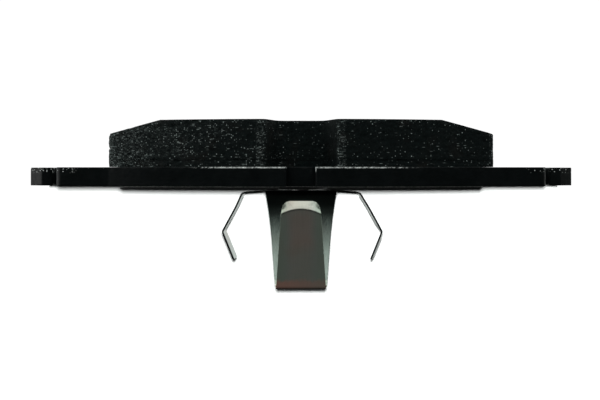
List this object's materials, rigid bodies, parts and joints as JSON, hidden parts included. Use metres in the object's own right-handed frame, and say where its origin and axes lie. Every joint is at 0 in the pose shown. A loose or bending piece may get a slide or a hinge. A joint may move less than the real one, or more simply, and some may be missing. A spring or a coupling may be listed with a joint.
{
  "type": "brake pad",
  "caption": "Disc brake pad: steel backing plate with hammerhead ears, chamfered moulded lining, layered noise shim and a riveted spring clip whose flexing legs grip the inside of the piston.",
  "frame": {"origin": "the point on the flat friction face that the brake piston's axis passes through", "axes": "+Z out of the friction face, towards the disc; +X along the pad; -Y from the disc's centre towards its rim"},
  "size_m": [0.1558, 0.0657, 0.0458],
  "materials": {
    "plate_coating": "satin",
    "friction_compound": "matte",
    "bonding_compound": "matte",
    "adhesive": "matte",
    "shim_steel": "satin",
    "shim_rubber": "matte",
    "spring_steel": "satin",
    "rivet_steel": "satin"
  },
  "bodies": {
    "pad": {"backing_plate": "plate_coating", "underlayer": "bonding_compound", "friction_block": "friction_compound", "shim_adhesive_film": "adhesive", "shim_steel_core": "shim_steel", "shim_rubber_facing": "shim_rubber", "rivet_rim_side": "rivet_steel", "rivet_foot_side": "rivet_steel", "clip_hub": "spring_steel"},
    "left_arm": {"clip_arm_left": "spring_steel"},
    "right_arm": {"clip_arm_right": "spring_steel"},
    "centre_leg": {"clip_centre_leg": "spring_steel"},
    "tongue": {"clip_tongue": "spring_steel"}
  },
  "joints": [
    {"name": "left_arm_flex", "type": "hinge", "parent": "pad", "child": "left_arm", "pos_m": [-0.01595, 0, -0.01981], "axis": [0, -1, 0], "range_deg": [0, 10], "stiffness_Nm_per_rad": 0.9},
    {"name": "right_arm_flex", "type": "hinge", "parent": "pad", "child": "right_arm", "pos_m": [0.01595, 0, -0.01981], "axis": [0, 1, 0], "range_deg": [0, 10], "stiffness_Nm_per_rad": 0.9},
    {"name": "centre_leg_flex", "type": "hinge", "parent": "pad", "child": "centre_leg", "pos_m": [0, -0.00905, -0.0194], "axis": [1, 0, 0], "range_deg": [0, 5], "stiffness_Nm_per_rad": 2},
    {"name": "tongue_flex", "type": "hinge", "parent": "centre_leg", "child": "tongue", "pos_m": [0, -0.01616, -0.0437], "axis": [-1, 0, 0], "range_deg": [0, 12], "stiffness_Nm_per_rad": 0.8}
  ]
}
